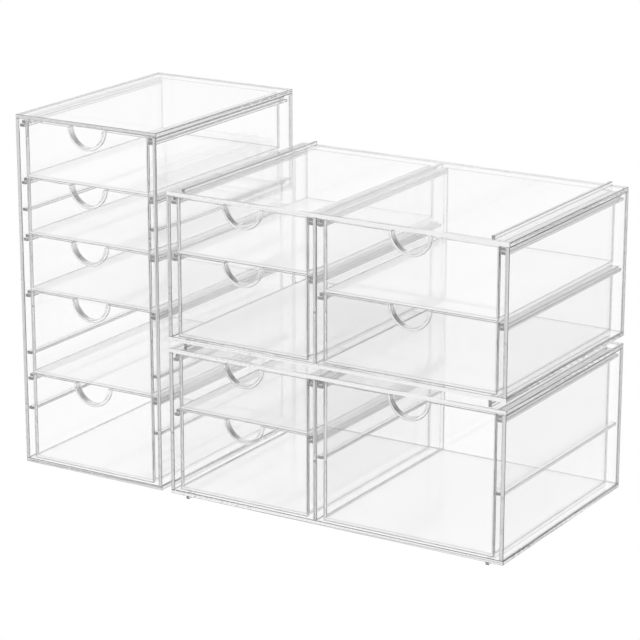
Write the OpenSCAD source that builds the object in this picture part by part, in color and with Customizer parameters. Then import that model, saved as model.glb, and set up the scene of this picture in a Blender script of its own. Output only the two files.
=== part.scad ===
// Clear acrylic drawer organizer: a five-drawer tower beside two stacked
// double-column casings. Every plate, rail and strip is its own cut sheet piece.
// +X is right, the drawers open towards -Y, +Z is up. Sizes are in millimetres.

/* [Sheet stock] */
// Thickness of the casing walls, tops, floors and backs
sheet = 4.5; // [3:0.1:6]
// Thickness of the drawer sides, backs and bottoms
drawer_sheet = 3; // [2:0.1:4]
// Thickness of the drawer front panels
front_sheet = 3; // [2:0.1:5]

/* [Joints] */
// Thickness of the cement line between two glued pieces
glue = 0.1; // [0.05:0.05:0.3]
// Gap between two surfaces that rest on each other
seat_gap = 0.1; // [0.05:0.05:0.3]

/* [Casings] */
// Depth of every casing from front edge to back face
depth = 260; // [200:1:320]
// Clear width of a narrow column, shared by the tower and the double casings
narrow_column = 169; // [130:1:200]
// Clear width of the wide column in a double casing
wide_column = 207.5; // [170:0.5:260]
// Height of the tower
tower_h = 383; // [370:1:430]
// Height of one double casing without its feet and top strips
double_h = 158; // [140:1:190]

/* [Arrangement] */
// Space between the tower and the double casings
side_by_side_gap = 18; // [2:0.5:60]
// How far the tower's front edge stands behind that of the double casings
tower_setback = 9; // [0:0.5:40]

/* [Stacking strips] */
// Width of a foot or top strip
strip_w = 3.8; // [2:0.1:8]
// Height of a foot or top strip
strip_h = 3.8; // [2:0.1:8]
// Distance from the casing's side face to the strip
strip_inset = 17; // [5:0.5:40]
// Distance from the casing's front and back edges to the strip's ends
strip_end_inset = 3; // [0:0.5:20]

/* [Rails and runners] */
// Width of a rail, measured out from its wall
rail_w = 6; // [4:0.1:7]
// Thickness of a rail
rail_t = 3.2; // [2:0.1:4]
// Distance from the casing's front edge to the rail's front end
rail_front_inset = 1.5; // [0:0.1:10]
// Distance from the rail's back end to the casing's back plate
rail_back_inset = 3.5; // [0.5:0.1:10]
// Width of a runner, measured out from its drawer side
runner_w = 6; // [4:0.1:7]
// Thickness of a runner
runner_t = 3.2; // [2:0.1:4]
// Distance from the drawer's top edge down to its runners
runner_drop = 0.6; // [0.2:0.1:4]

/* [Drawers] */
// Gap between a drawer's side and the casing wall
side_gap = 7; // [6.2:0.1:8]
// Gap between a top drawer and the plate over it
top_gap = 1.4; // [0.6:0.1:4]
// Gap between a bottom drawer and the casing floor
floor_gap = 1.3; // [0.6:0.1:4]
// Gap between one drawer and the next above it
stack_gap = 1; // [0.5:0.1:3]
// Distance from the casing's front edge to the drawer front
front_inset = 1; // [0:0.1:5]
// Gap between the drawer's back and the casing's back plate
back_gap = 8; // [1:0.1:15]

/* [Drawer heights, rail to rail] */
// Step from one short tower drawer to the next
tower_short_step = 61.5; // [40:0.5:64]
// Step from the fourth tower drawer to the tall bottom one
tower_tall_step = 92.4; // [70:0.1:96]
// Step from the short narrow drawer to the one under it
narrow_step = 59.4; // [40:0.1:80]
// Step from the upper wide drawer to the one under it
wide_step = 74.3; // [50:0.1:90]

/* [Spare tower rails] */
// Drop from the second drawer's rails to the first spare pair
spare_below_second = 29; // [16:0.5:45]
// Rise from the fifth drawer's rails to the second spare pair
spare_above_fifth = 29; // [16:0.5:45]
// Drop from the fifth drawer's rails to the third spare pair
spare_below_fifth = 33; // [16:0.5:45]

/* [Finger notch] */
// Radius of the half-round notch in each drawer front
notch_r = 20.3; // [12:0.1:25]
// Rounding radius where the notch meets the front's top edge
notch_shoulder_r = 1.6; // [0.5:0.1:2]
// Width of the rim that runs round the notch behind the front
notch_rim_w = 3; // [2.5:0.1:5]
// How far the rim stands out behind the front
notch_rim_depth = 5; // [1:0.1:10]

/* [Hidden] */
// Small overrun that lets a cut pass clean through a face
overrun = 1;

tower_w = narrow_column + 2 * sheet;
double_w = narrow_column + wide_column + 3 * sheet;
total_w = tower_w + side_by_side_gap + double_w;
total_depth = depth + tower_setback;

// Front left bottom corner of each casing
tower_at = [-total_w / 2, tower_setback - total_depth / 2, 0];
lower_at = [tower_at.x + tower_w + side_by_side_gap, -total_depth / 2, strip_h + glue];
upper_at = lower_at + [0, 0, double_h + 2 * (strip_h + glue) + seat_gap];

inner_depth = depth - sheet;
divider_x = sheet + narrow_column;
wide_x = divider_x + sheet;

// Where the underside of each rail lies below the drawer's top edge
rail_drop = runner_drop + runner_t + seat_gap + rail_t;
rail_len = inner_depth - rail_front_inset - rail_back_inset;
drawer_len = inner_depth - front_inset - back_gap;

// Top edges of the drawers, measured up from the casing's underside
tower_top_edge = tower_h - sheet - top_gap;
tower_edges = [for (short_steps = [0:3]) tower_top_edge - short_steps * tower_short_step];
tower_last_edge = tower_edges[3] - tower_tall_step;
double_top_edge = double_h - sheet - top_gap;
first_bottom = sheet + floor_gap;

tower_drawers = drawer_stack("tower_drawer_", concat(tower_edges, [tower_last_edge]));
narrow_drawers = drawer_stack("narrow_drawer_", [double_top_edge, double_top_edge - narrow_step]);
wide_drawers = drawer_stack("wide_drawer_", [double_top_edge, double_top_edge - wide_step]);
full_drawer = drawer_stack("wide_drawer_", [double_top_edge]);

// Undersides of the rails in each column, measured up from the casing's underside
tower_rail_z = concat(
    [for (d = tower_drawers) d[2] - rail_drop],
    [tower_edges[1] - rail_drop - spare_below_second,
     tower_last_edge - rail_drop + spare_above_fifth,
     tower_last_edge - rail_drop - spare_below_fifth]);
narrow_rail_z = [for (d = narrow_drawers) d[2] - rail_drop];
wide_rail_z = [for (d = wide_drawers) d[2] - rail_drop];

// Every drawer: its name, its column's left inner corner and clear width, its bottom and top
DRAWERS = concat(
    placed("", tower_drawers, tower_at, sheet, narrow_column),
    placed("lower_", narrow_drawers, lower_at, sheet, narrow_column),
    placed("lower_", full_drawer, lower_at, wide_x, wide_column),
    placed("upper_", narrow_drawers, upper_at, sheet, narrow_column),
    placed("upper_", wide_drawers, upper_at, wide_x, wide_column));

TOWER_PIECES = ["left_wall", "right_wall", "top", "floor", "back", "rails"];
DOUBLE_PIECES = concat(TOWER_PIECES, ["divider", "feet", "top_strips"]);

// A column's drawers from the top down, each as [name, bottom, top]
function drawer_stack(prefix, edges) = [
    for (i = [0:len(edges) - 1])
        [str(prefix, i + 1), i < len(edges) - 1 ? edges[i + 1] + stack_gap : first_bottom, edges[i]]];

// The same drawers in the whole set's frame
function placed(prefix, drawers, at, x, w) = [
    for (d = drawers) [str(prefix, d[0]), at + [x, 0, 0], w, d[1], d[2]]];

// One upright side wall or divider, standing between the floor and the top
module wall(x, height, length) {
    translate([x, 0, sheet + glue])
        cube([sheet, length, height - 2 * (sheet + glue)]);
}

// The top or floor plate, which covers the ends of the walls
module deck(width, z) {
    translate([0, 0, z])
        cube([width, depth, sheet]);
}

// The back plate, let in between the outer walls
module back_plate(width, height) {
    translate([sheet + glue, inner_depth, sheet + glue])
        cube([width - 2 * (sheet + glue), sheet, height - 2 * (sheet + glue)]);
}

// Rails on both walls of one column, one pair for each height
module rail_pairs(x, width, heights) {
    for (z = heights, side_x = [x + glue, x + width - glue - rail_w])
        translate([side_x, rail_front_inset, z])
            cube([rail_w, rail_len, rail_t]);
}

// A pair of square strips along the depth, which space one casing off the next
module strips(width, z) {
    for (x = [strip_inset, width - strip_inset - strip_w])
        translate([x, strip_end_inset, z])
            cube([strip_w, depth - 2 * strip_end_inset, strip_h]);
}

// Outline of the finger notch about the middle of the front's top edge
module notch_outline() {
    bend_spacing = notch_r + notch_shoulder_r;
    bend_x = sqrt(pow(bend_spacing, 2) - pow(notch_shoulder_r, 2));
    circle(r = notch_r, $fn = 96);
    for (side = [-1, 1])
        scale([side, 1])
            difference() {
                polygon([
                    [0, overrun],
                    [bend_x, overrun],
                    [bend_x, -notch_shoulder_r],
                    [bend_x, -notch_shoulder_r] * notch_r / bend_spacing]);
                translate([bend_x, -notch_shoulder_r])
                    circle(r = notch_shoulder_r, $fn = 32);
            }
}

// The full-face front panel, cut out in one with the rim behind its finger notch
module drawer_front(width, height) {
    front_and_rim = front_sheet + notch_rim_depth;
    translate([0, front_and_rim, 0])
        rotate([90, 0, 0])
            difference() {
                union() {
                    translate([0, 0, notch_rim_depth])
                        cube([width, height, front_sheet]);
                    linear_extrude(height = front_and_rim)
                        intersection() {
                            square([width, height]);
                            translate([width / 2, height])
                                circle(r = notch_r + notch_rim_w, $fn = 96);
                        }
                }
                translate([width / 2, height, -overrun])
                    linear_extrude(height = front_and_rim + 2 * overrun)
                        notch_outline();
            }
}

// The bottom with the two sides and the back standing on it, behind the front panel
module drawer_tray(width, height) {
    tray_y = front_sheet + glue;
    upright_z = drawer_sheet + glue;
    upright_h = height - upright_z;
    translate([0, tray_y, 0])
        cube([width, drawer_len - tray_y, drawer_sheet]);
    for (x = [0, width - drawer_sheet])
        translate([x, tray_y, upright_z])
            cube([drawer_sheet, drawer_len - tray_y, upright_h]);
    translate([upright_z, drawer_len - drawer_sheet, upright_z])
        cube([width - 2 * upright_z, drawer_sheet, upright_h]);
}

// The two strips outside the sides, which ride on the rails
module drawer_runners(width, height) {
    runner_y = front_sheet + glue;
    for (x = [-glue - runner_w, width + glue])
        translate([x, runner_y, height - runner_drop - runner_t])
            cube([runner_w, drawer_len - runner_y, runner_t]);
}

// The casing piece of the given name
module casing_piece(piece, width, height) {
    color("whitesmoke", 0.4) {
        if (piece == "left_wall") wall(0, height, depth);
        if (piece == "right_wall") wall(width - sheet, height, depth);
        if (piece == "top") deck(width, height - sheet);
        if (piece == "floor") deck(width, 0);
        if (piece == "back") back_plate(width, height);
    }
}

// Fittings of the tower
module tower_fitting(piece) {
    color("gainsboro", 0.4)
        if (piece == "rails") rail_pairs(sheet, narrow_column, tower_rail_z);
}

// Fittings of a double casing
module double_fitting(piece) {
    color("gainsboro", 0.4) {
        if (piece == "divider") wall(divider_x, double_h, inner_depth - glue);
        if (piece == "feet") strips(double_w, -glue - strip_h);
        if (piece == "top_strips") strips(double_w, double_h + glue);
        if (piece == "rails") {
            rail_pairs(sheet, narrow_column, narrow_rail_z);
            rail_pairs(wide_x, wide_column, wide_rail_z);
        }
    }
}

// The drawer piece of the given name, in its closed place
module drawer_piece(piece, drawer) {
    width = drawer[2] - 2 * side_gap;
    height = drawer[4] - drawer[3];
    color("white", 0.4)
        translate(drawer[1] + [side_gap, front_inset, drawer[3]]) {
            if (piece == "_front") drawer_front(width, height);
            if (piece == "_tray") drawer_tray(width, height);
            if (piece == "_runners") drawer_runners(width, height);
        }
}

for (p = TOWER_PIECES)
    translate(tower_at) {
            casing_piece(p, tower_w, tower_h);
            tower_fitting(p);
        }

for (p = DOUBLE_PIECES)
    translate(lower_at) {
            casing_piece(p, double_w, double_h);
            double_fitting(p);
        }

for (p = DOUBLE_PIECES)
    translate(upper_at) {
            casing_piece(p, double_w, double_h);
            double_fitting(p);
        }

for (d = DRAWERS, p = ["_front", "_tray", "_runners"])
    drawer_piece(p, d);
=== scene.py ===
import math
import bmesh
import bpy
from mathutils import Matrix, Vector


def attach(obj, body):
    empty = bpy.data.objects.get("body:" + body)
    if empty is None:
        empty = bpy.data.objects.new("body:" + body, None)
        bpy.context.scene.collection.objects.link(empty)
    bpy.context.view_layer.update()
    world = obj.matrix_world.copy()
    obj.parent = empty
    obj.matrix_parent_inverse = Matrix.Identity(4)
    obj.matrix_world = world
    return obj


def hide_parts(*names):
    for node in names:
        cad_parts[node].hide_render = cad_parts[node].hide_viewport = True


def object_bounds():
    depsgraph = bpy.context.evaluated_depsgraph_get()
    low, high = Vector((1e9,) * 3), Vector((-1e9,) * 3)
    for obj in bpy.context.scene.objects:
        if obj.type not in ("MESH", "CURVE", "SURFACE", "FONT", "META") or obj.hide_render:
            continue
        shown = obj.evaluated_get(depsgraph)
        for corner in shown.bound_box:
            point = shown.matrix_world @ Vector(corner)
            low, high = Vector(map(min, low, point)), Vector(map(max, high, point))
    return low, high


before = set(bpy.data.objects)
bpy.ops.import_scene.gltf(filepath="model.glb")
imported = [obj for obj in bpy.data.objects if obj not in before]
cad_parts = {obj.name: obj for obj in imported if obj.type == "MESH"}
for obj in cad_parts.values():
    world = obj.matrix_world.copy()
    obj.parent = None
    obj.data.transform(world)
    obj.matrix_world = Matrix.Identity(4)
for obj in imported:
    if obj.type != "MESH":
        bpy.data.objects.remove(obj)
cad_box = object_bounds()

scene = bpy.context.scene


# ---- Camera -----------------------------------------------------------------
# Stands right of the organizer and a little above it, with a long lens, so the
# three casings show their fronts, their right sides and their tops.
camera_data = bpy.data.cameras.new("organizer_camera")
camera_data.lens = 150.40
camera_data.sensor_width = 36
camera_data.clip_end = 100
camera = bpy.data.objects.new("organizer_camera", camera_data)
camera.location = (1.40558, -2.28605, 0.97196)
downward, turned = 16.58104, 31.54311
camera.rotation_euler = (math.radians(90 - downward), 0, math.radians(turned))
scene.collection.objects.link(camera)
scene.camera = camera


# ---- Casing sheets ----------------------------------------------------------
# Walls, dividers, tops, floors and backs: 4.5 mm clear cast acrylic sheet, laser
# cut and cemented edge to face, with the edges flame polished to a soft corner.
class Wire:
    """A shader socket that takes part in ordinary arithmetic."""

    def __init__(self, tree, socket):
        self.tree, self.socket = tree, socket

    def _math(self, operation, first, second):
        return self.tree.node("ShaderNodeMath", {"operation": operation},
                              {0: first, 1: second})["Value"]

    def __add__(self, other):
        return self._math("ADD", self, other)

    def __sub__(self, other):
        return self._math("SUBTRACT", self, other)

    def __rsub__(self, other):
        return self._math("SUBTRACT", other, self)

    def __mul__(self, other):
        return self._math("MULTIPLY", self, other)

    def __gt__(self, other):
        return self._math("GREATER_THAN", self, other)

    def __or__(self, other):
        return self._math("MAXIMUM", self, other)

    __radd__ = __add__
    __rmul__ = __mul__
    __ror__ = __or__


def grey(value):
    """An opaque grey colour."""
    return (value, value, value, 1.0)


class Tree:
    """A node tree whose nodes are made with their settings and sockets in one call."""

    def __init__(self, node_tree):
        self.nodes, self.links = node_tree.nodes, node_tree.links
        self.nodes.clear()

    def node(self, kind, settings=None, sockets=None):
        made = self.nodes.new(kind)
        for name, value in (settings or {}).items():
            if name == "stops":
                elements = made.color_ramp.elements
                while len(elements) < len(value):
                    elements.new(1.0)
                for stop, (position, tone) in zip(elements, value):
                    stop.position, stop.color = position, grey(tone)
            else:
                setattr(made, name, value)
        for name, value in (sockets or {}).items():
            socket = made.inputs[name] if isinstance(name, int) else next(
                each for each in made.inputs if each.enabled and each.name == name)
            if isinstance(value, Wire):
                self.links.new(value.socket, socket)
            else:
                socket.default_value = value
        return {each.name: Wire(self, each) for each in made.outputs if each.enabled}


def clear_acrylic(name, tones, level_share=1.0, side_share=1.0, mirror=0.996, density=1.2,
                  corner_shade=0.05, milk=0.0, along="Z", lip=1.0):
    """Polished clear acrylic. `tones` lists greys by their place along one axis in
    metres, painted shade that its level and side faces take with the shares
    `level_share` and `side_share`, while its front and back faces stay clear. Rounded
    corners, where light bends away, are painted with a dark corner shade, level front
    and back ones `lip` times as much. Trapped light keeps `mirror` of itself at each
    bounce, and level faces scatter the share `milk`, lifted a little by a painted glow."""
    refraction = 1.49
    ramp_start, ramp_length = -0.2, 0.6
    full_on_diagonal = 4.0
    level_limit = 0.9
    trapped_limit = 0.99
    haze_grain, haze_share, haze_colour = 9.0, 0.003, (0.5, 0.51, 0.52, 1.0)
    ripple_strength = ripple_height = 0.001
    scatter_grey, painted_glow = 0.98, 0.11

    material = bpy.data.materials.new(name)
    material.use_nodes = True
    tree = Tree(material.node_tree)
    place = tree.node("ShaderNodeTexCoord")["Object"]
    surface_facts = tree.node("ShaderNodeNewGeometry")
    facing = tree.node("ShaderNodeSeparateXYZ", None, {"Vector": surface_facts["Normal"]})
    across, ahead, up = (facing[axis] * facing[axis] for axis in "XYZ")
    shaded = up * level_share + across * side_share
    # Painted shade: rounded corners are painted dark where real polished edges bend light
    # away.
    rounded = (across * ahead + ahead * up * lip + across * up) * full_on_diagonal

    # Painted shade: greys by place along one axis, laid on level and side faces by their
    # shares.
    metres = tree.node("ShaderNodeSeparateXYZ", None, {"Vector": place})[along]
    stops = [((at - ramp_start) / ramp_length, tone) for at, tone in tones]
    painted_shade = tree.node("ShaderNodeValToRGB", {"stops": stops},
                     {"Fac": (metres - ramp_start) * (1 / ramp_length)})["Color"]
    tone = tree.node("ShaderNodeMix", {"data_type": "RGBA"},
                     {"Factor": shaded, "A": grey(1.0), "B": painted_shade})["Result"]
    tone = tree.node("ShaderNodeMix", {"data_type": "RGBA"},
                     {"Factor": rounded, "A": tone, "B": grey(corner_shade)})["Result"]
    haze = tree.node("ShaderNodeTexNoise", None,
                     {"Vector": place, "Scale": haze_grain, "Detail": 2.0})["Fac"]
    tone = tree.node("ShaderNodeMix", {"data_type": "RGBA"},
                     {"Factor": haze * haze_share, "A": tone, "B": haze_colour})["Result"]
    ripple = tree.node("ShaderNodeBump", None,
                       {"Height": haze, "Strength": ripple_strength,
                        "Distance": ripple_height})["Normal"]

    clear = tree.node("ShaderNodeBsdfPrincipled", None,
                      {"Base Color": tone, "Roughness": 0.0, "Normal": ripple,
                       "IOR": refraction, "Transmission Weight": 1.0})["BSDF"]
    inner_wall = tree.node("ShaderNodeBsdfAnisotropic", None,
                           {"Color": grey(mirror), "Roughness": 0.0})["BSDF"]
    fresnel = tree.node("ShaderNodeFresnel", None, {"IOR": refraction})["Fac"]
    trapped = (fresnel > trapped_limit) * surface_facts["Backfacing"]
    surface = tree.node("ShaderNodeMixShader", None,
                        {0: trapped, 1: clear, 2: inner_wall})["Shader"]
    # Milky scatter on level faces, with a painted glow of white emission that lifts it.
    scatter = tree.node("ShaderNodeBsdfPrincipled", None,
                        {"Base Color": grey(scatter_grey), "Roughness": 1.0,
                         "Specular IOR Level": 0.0, "Emission Color": grey(1.0),
                         "Emission Strength": painted_glow})["BSDF"]
    surface = tree.node("ShaderNodeMixShader", None,
                        {0: (up > level_limit) * milk, 1: surface, 2: scatter})["Shader"]
    volume = tree.node("ShaderNodeVolumeAbsorption", None,
                       {"Color": grey(0.0), "Density": density})["Volume"]
    tree.node("ShaderNodeOutputMaterial", None, {"Surface": surface, "Volume": volume})
    return material


def merged(node):
    """The cut piece's mesh with its corners joined and its flat faces whole."""
    same_point = 0.00001
    flat_angle = math.radians(1)
    shape = bmesh.new()
    shape.from_mesh(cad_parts[node].data)
    bmesh.ops.remove_doubles(shape, verts=shape.verts, dist=same_point)
    bmesh.ops.dissolve_limit(shape, angle_limit=flat_angle, verts=shape.verts,
                             edges=shape.edges)
    return shape


def seat(mesh, node, finish, body):
    """Put the finished mesh in the place of its CAD node."""
    mesh.name = node + "_polished"
    mesh.materials.clear()
    mesh.materials.append(finish)
    piece = bpy.data.objects.new(mesh.name, mesh)
    scene.collection.objects.link(piece)
    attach(piece, body)
    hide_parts(node)


def polished(node, finish, soft_edge, body):
    """The cut piece with its sharp edges polished to a soft corner."""
    sharp_angle = math.radians(30)
    shape = merged(node)
    corners = [edge for edge in shape.edges if edge.calc_face_angle(0) > sharp_angle]
    bmesh.ops.bevel(shape, geom=corners, offset=soft_edge, segments=2, profile=0.5,
                    affect="EDGES", clamp_overlap=True)
    for face in shape.faces:
        face.smooth = False
    mesh = bpy.data.meshes.new(node)
    shape.to_mesh(mesh)
    shape.free()
    seat(mesh, node, finish, body)


casing_edge = 0.0006
bottom, top = cad_box[0][2], cad_box[1][2]
# Painted shade: the sheets' greys lie on their level and side faces, the doubles' walls a
# little darker towards the bottom, and their polished corners are painted dark.
tower_acrylic = clear_acrylic("tower_sheet_acrylic", [(bottom, 0.992), (top, 0.992)],
                              side_share=0.1, mirror=0.997, corner_shade=0.2)
wall_acrylic = clear_acrylic("double_wall_acrylic", [(bottom, 0.988), (top, 0.992)])
plate_tones = [(bottom, 0.992), (top, 0.992)]
plate_sheet = {"side_share": 0.5, "mirror": 0.999, "density": 0.4}
deck_acrylic = clear_acrylic("double_deck_acrylic", plate_tones, corner_shade=0.4,
                             lip=0.0, **plate_sheet)
base_acrylic = clear_acrylic("double_base_acrylic", plate_tones, corner_shade=0.1,
                             lip=1.8, **plate_sheet)
casings = {
    "tower": ("tower_and_lower_casing", tower_acrylic, tower_acrylic, tower_acrylic),
    "lower": ("tower_and_lower_casing", wall_acrylic, deck_acrylic, base_acrylic),
    "upper": ("upper_casing", wall_acrylic, deck_acrylic, deck_acrylic)}
for casing, (body, upright, top_plate, floor_plate) in casings.items():
    finishes = {"left_wall": upright, "right_wall": upright, "back": upright,
                "divider": upright, "top": top_plate, "floor": floor_plate}
    for part, finish in finishes.items():
        if casing + "_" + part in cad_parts:
            polished(casing + "_" + part, finish, casing_edge, body)


# ---- Rails, feet and top strips ---------------------------------------------
# Square and flat bars of the same acrylic, cemented along the walls, under the
# floors and on the tops. Their long edges are rounded, their ends saw cut.
def bar_maker():
    """A node tree that sweeps one rounded bar from every point it is given."""
    group = bpy.data.node_groups.new("rounded_bars", "GeometryNodeTree")
    group.interface.new_socket("Geometry", in_out="OUTPUT", socket_type="NodeSocketGeometry")
    group.interface.new_socket("Geometry", in_out="INPUT", socket_type="NodeSocketGeometry")
    for name in ("Width", "Thickness", "Length", "Corner"):
        group.interface.new_socket(name, in_out="INPUT", socket_type="NodeSocketFloat")
    group.interface.new_socket("Finish", in_out="INPUT", socket_type="NodeSocketMaterial")
    tree = Tree(group)
    given = tree.node("NodeGroupInput")
    outline = tree.node("GeometryNodeCurvePrimitiveQuadrilateral", None,
                        {"Width": given["Width"], "Height": given["Thickness"]})["Curve"]
    outline = tree.node("GeometryNodeFilletCurve", {"mode": "POLY"},
                        {"Curve": outline, "Count": 2, "Radius": given["Corner"]})["Curve"]
    end = tree.node("ShaderNodeCombineXYZ", None, {"Y": given["Length"]})["Vector"]
    path = tree.node("GeometryNodeCurvePrimitiveLine", None,
                     {"Start": (0.0, 0.0, 0.0), "End": end})["Curve"]
    bar = tree.node("GeometryNodeCurveToMesh", None,
                    {"Curve": path, "Profile Curve": outline, "Fill Caps": True})["Mesh"]
    row = tree.node("GeometryNodeInstanceOnPoints", None,
                    {"Points": given["Geometry"], "Instance": bar})["Instances"]
    row = tree.node("GeometryNodeRealizeInstances", None, {"Geometry": row})["Geometry"]
    row = tree.node("GeometryNodeSetMaterial", None,
                    {"Geometry": row, "Material": given["Finish"]})["Geometry"]
    tree.node("NodeGroupOutput", None, {"Geometry": row})
    return group


def bars(node, finish, body):
    """Sweep a rounded bar along the depth at the place of each bar of the CAD node."""
    shape = merged(node)
    boxes, seen = [], set()
    for first in shape.verts:
        if first in seen:
            continue
        solid, waiting = {first}, [first]
        while waiting:
            for edge in waiting.pop().link_edges:
                for vert in edge.verts:
                    if vert not in solid:
                        solid.add(vert)
                        waiting.append(vert)
        seen |= solid
        boxes.append([(min(v.co[axis] for v in solid), max(v.co[axis] for v in solid))
                      for axis in range(3)])
    shape.free()
    width, length, thickness = (high - low for low, high in boxes[0])
    starts = bpy.data.meshes.new("bar_starts")
    starts.from_pydata([((x[0] + x[1]) / 2, y[0], (z[0] + z[1]) / 2) for x, y, z in boxes],
                       [], [])
    maker = bpy.data.objects.new("bar_starts", starts)
    scene.collection.objects.link(maker)
    sweep = maker.modifiers.new("rounded_bars", "NODES")
    sweep.node_group = bar_group
    values = {"Width": width, "Thickness": thickness, "Length": length,
              "Corner": bar_edge, "Finish": finish}
    for socket in bar_group.interface.items_tree:
        if socket.name in values:
            sweep[socket.identifier] = values[socket.name]
    evaluated = maker.evaluated_get(bpy.context.evaluated_depsgraph_get())
    mesh = bpy.data.meshes.new_from_object(evaluated)
    maker.modifiers.clear()
    bpy.data.objects.remove(maker)
    bpy.data.meshes.remove(starts)
    seat(mesh, node, finish, body)


bar_edge = 0.0006
bar_group = bar_maker()
# Painted shade: the bars' long faces are greyed to 0.94 and their rounded corners painted
# dark; the saw cut ends stay clear.
bar_acrylic = clear_acrylic("bar_acrylic", [(bottom, 0.94), (top, 0.94)],
                            mirror=0.98, density=2.0)
for casing, (body, *_) in casings.items():
    for part in ("rails", "feet", "top_strips"):
        if casing + "_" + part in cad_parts:
            bars(casing + "_" + part, bar_acrylic, body)


# ---- Drawers ----------------------------------------------------------------
# Each drawer is a front panel with a rimmed half-round finger notch, a tray of
# bottom, sides and back in 3 mm sheet, and two runner bars cemented outside the
# sides. Painted shade greys the tray sides by height, most on the wide trays, and
# all bottoms are a little milky, with a painted glow in their scatter.
drawer_edge = 0.0007
front_sheet = 0.003
front_finishes = {}
for kind, example, corner_shade in (("tower", "tower_drawer_1_front", 0.35),
                                   ("double", "lower_wide_drawer_1_front", 0.3)):
    panel_front = min(vert.co.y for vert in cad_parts[example].data.vertices)
    panel_back = panel_front + front_sheet
    # Painted shade: level and side faces behind the panel's back face, the notch rim, are
    # greyed to 0.76, the panel's own edges to 0.99, and the corners painted dark.
    front_finishes[kind] = clear_acrylic(
        kind + "_front_acrylic", [(panel_back - 0.0001, 0.99), (panel_back + 0.0003, 0.76)],
        mirror=0.995, density=1.4, corner_shade=corner_shade, milk=0.3, along="Y")
tray_sheet = {"level_share": 0.0, "mirror": 0.998, "density": 0.4, "milk": 0.35}
# Painted shade on the tray sides by height: tower and narrow trays a little darker towards
# the top, wide trays darkest between 0.09 and 0.24 m up.
tray_finishes = {
    "tower": clear_acrylic("tower_tray_acrylic",
                           [(bottom, 0.998), (0.04, 0.98), (top, 0.975)],
                           side_share=0.1, corner_shade=0.2, **tray_sheet),
    "narrow": clear_acrylic("narrow_tray_acrylic", [(bottom, 0.99), (top, 0.975)],
                            side_share=0.3, **tray_sheet),
    "wide": clear_acrylic("wide_tray_acrylic",
                          [(bottom, 1.0), (0.02, 0.97), (0.09, 0.91), (0.15, 0.9),
                           (0.24, 0.9), (0.248, 0.965), (0.34, 0.965)], **tray_sheet)}
for node in sorted(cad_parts):
    if "_drawer_" not in node:
        continue
    drawer, part = node.rsplit("_", 1)
    if part == "runners":
        bars(node, bar_acrylic, drawer)
    elif part == "front":
        finish = front_finishes["tower" if node.startswith("tower") else "double"]
        polished(node, finish, drawer_edge, drawer)
    else:
        finish = next(tray_finishes[kind] for kind in tray_finishes if kind in drawer)
        polished(node, finish, drawer_edge, drawer)


# ---- Studio -----------------------------------------------------------------
# A plain white floor that runs out of view, and an even white surround that is a
# little greyer near the horizon. Filter glossy is off, because it darkens what
# scattered light sees through many sheets.
reach, below_part = 6.0, -0.0002
floor_grey, floor_seen_through = 0.9, 0.97
horizon_grey, full_white_from = 0.96, 0.5
floor_mesh = bpy.data.meshes.new("studio_floor")
floor_mesh.from_pydata([(-reach, -reach, below_part), (reach, -reach, below_part),
                        (reach, reach, below_part), (-reach, reach, below_part)],
                       [], [(0, 1, 2, 3)])
paper = bpy.data.materials.new("white_paper")
paper.use_nodes = True
tree = Tree(paper.node_tree)
ray = tree.node("ShaderNodeLightPath")
through_sheet = ray["Is Transmission Ray"] | ray["Is Glossy Ray"]
backdrop = ray["Is Camera Ray"] | through_sheet * floor_seen_through
lit = tree.node("ShaderNodeBsdfDiffuse", None, {"Color": grey(floor_grey)})["BSDF"]
white = tree.node("ShaderNodeEmission", None,
                  {"Color": grey(1.0), "Strength": 1.0})["Emission"]
tree.node("ShaderNodeOutputMaterial", None, {"Surface": tree.node(
    "ShaderNodeMixShader", None, {0: backdrop, 1: lit, 2: white})["Shader"]})
floor_mesh.materials.append(paper)
floor = bpy.data.objects.new("studio_floor", floor_mesh)
scene.collection.objects.link(floor)

world = bpy.data.worlds.new("studio")
scene.world = world
world.use_nodes = True
tree = Tree(world.node_tree)
seen = tree.node("ShaderNodeLightPath")["Is Camera Ray"]
upward = tree.node("ShaderNodeSeparateXYZ", None, {
    "Vector": tree.node("ShaderNodeTexCoord")["Generated"]})["Z"]
dome = tree.node("ShaderNodeValToRGB",
                 {"stops": [(0.0, horizon_grey), (full_white_from, 1.0)]},
                 {"Fac": upward | seen})["Color"]
tree.node("ShaderNodeOutputWorld", None, {"Surface": tree.node(
    "ShaderNodeBackground", None, {"Color": dome, "Strength": 1.0})["Background"]})

scene.view_settings.view_transform = "Standard"
most_bounces = 96
scene.cycles.blur_glossy = 0.0
scene.cycles.max_bounces = most_bounces
scene.cycles.transmission_bounces = most_bounces
scene.cycles.glossy_bounces = most_bounces
scene.cycles.caustics_reflective = True
scene.cycles.caustics_refractive = True
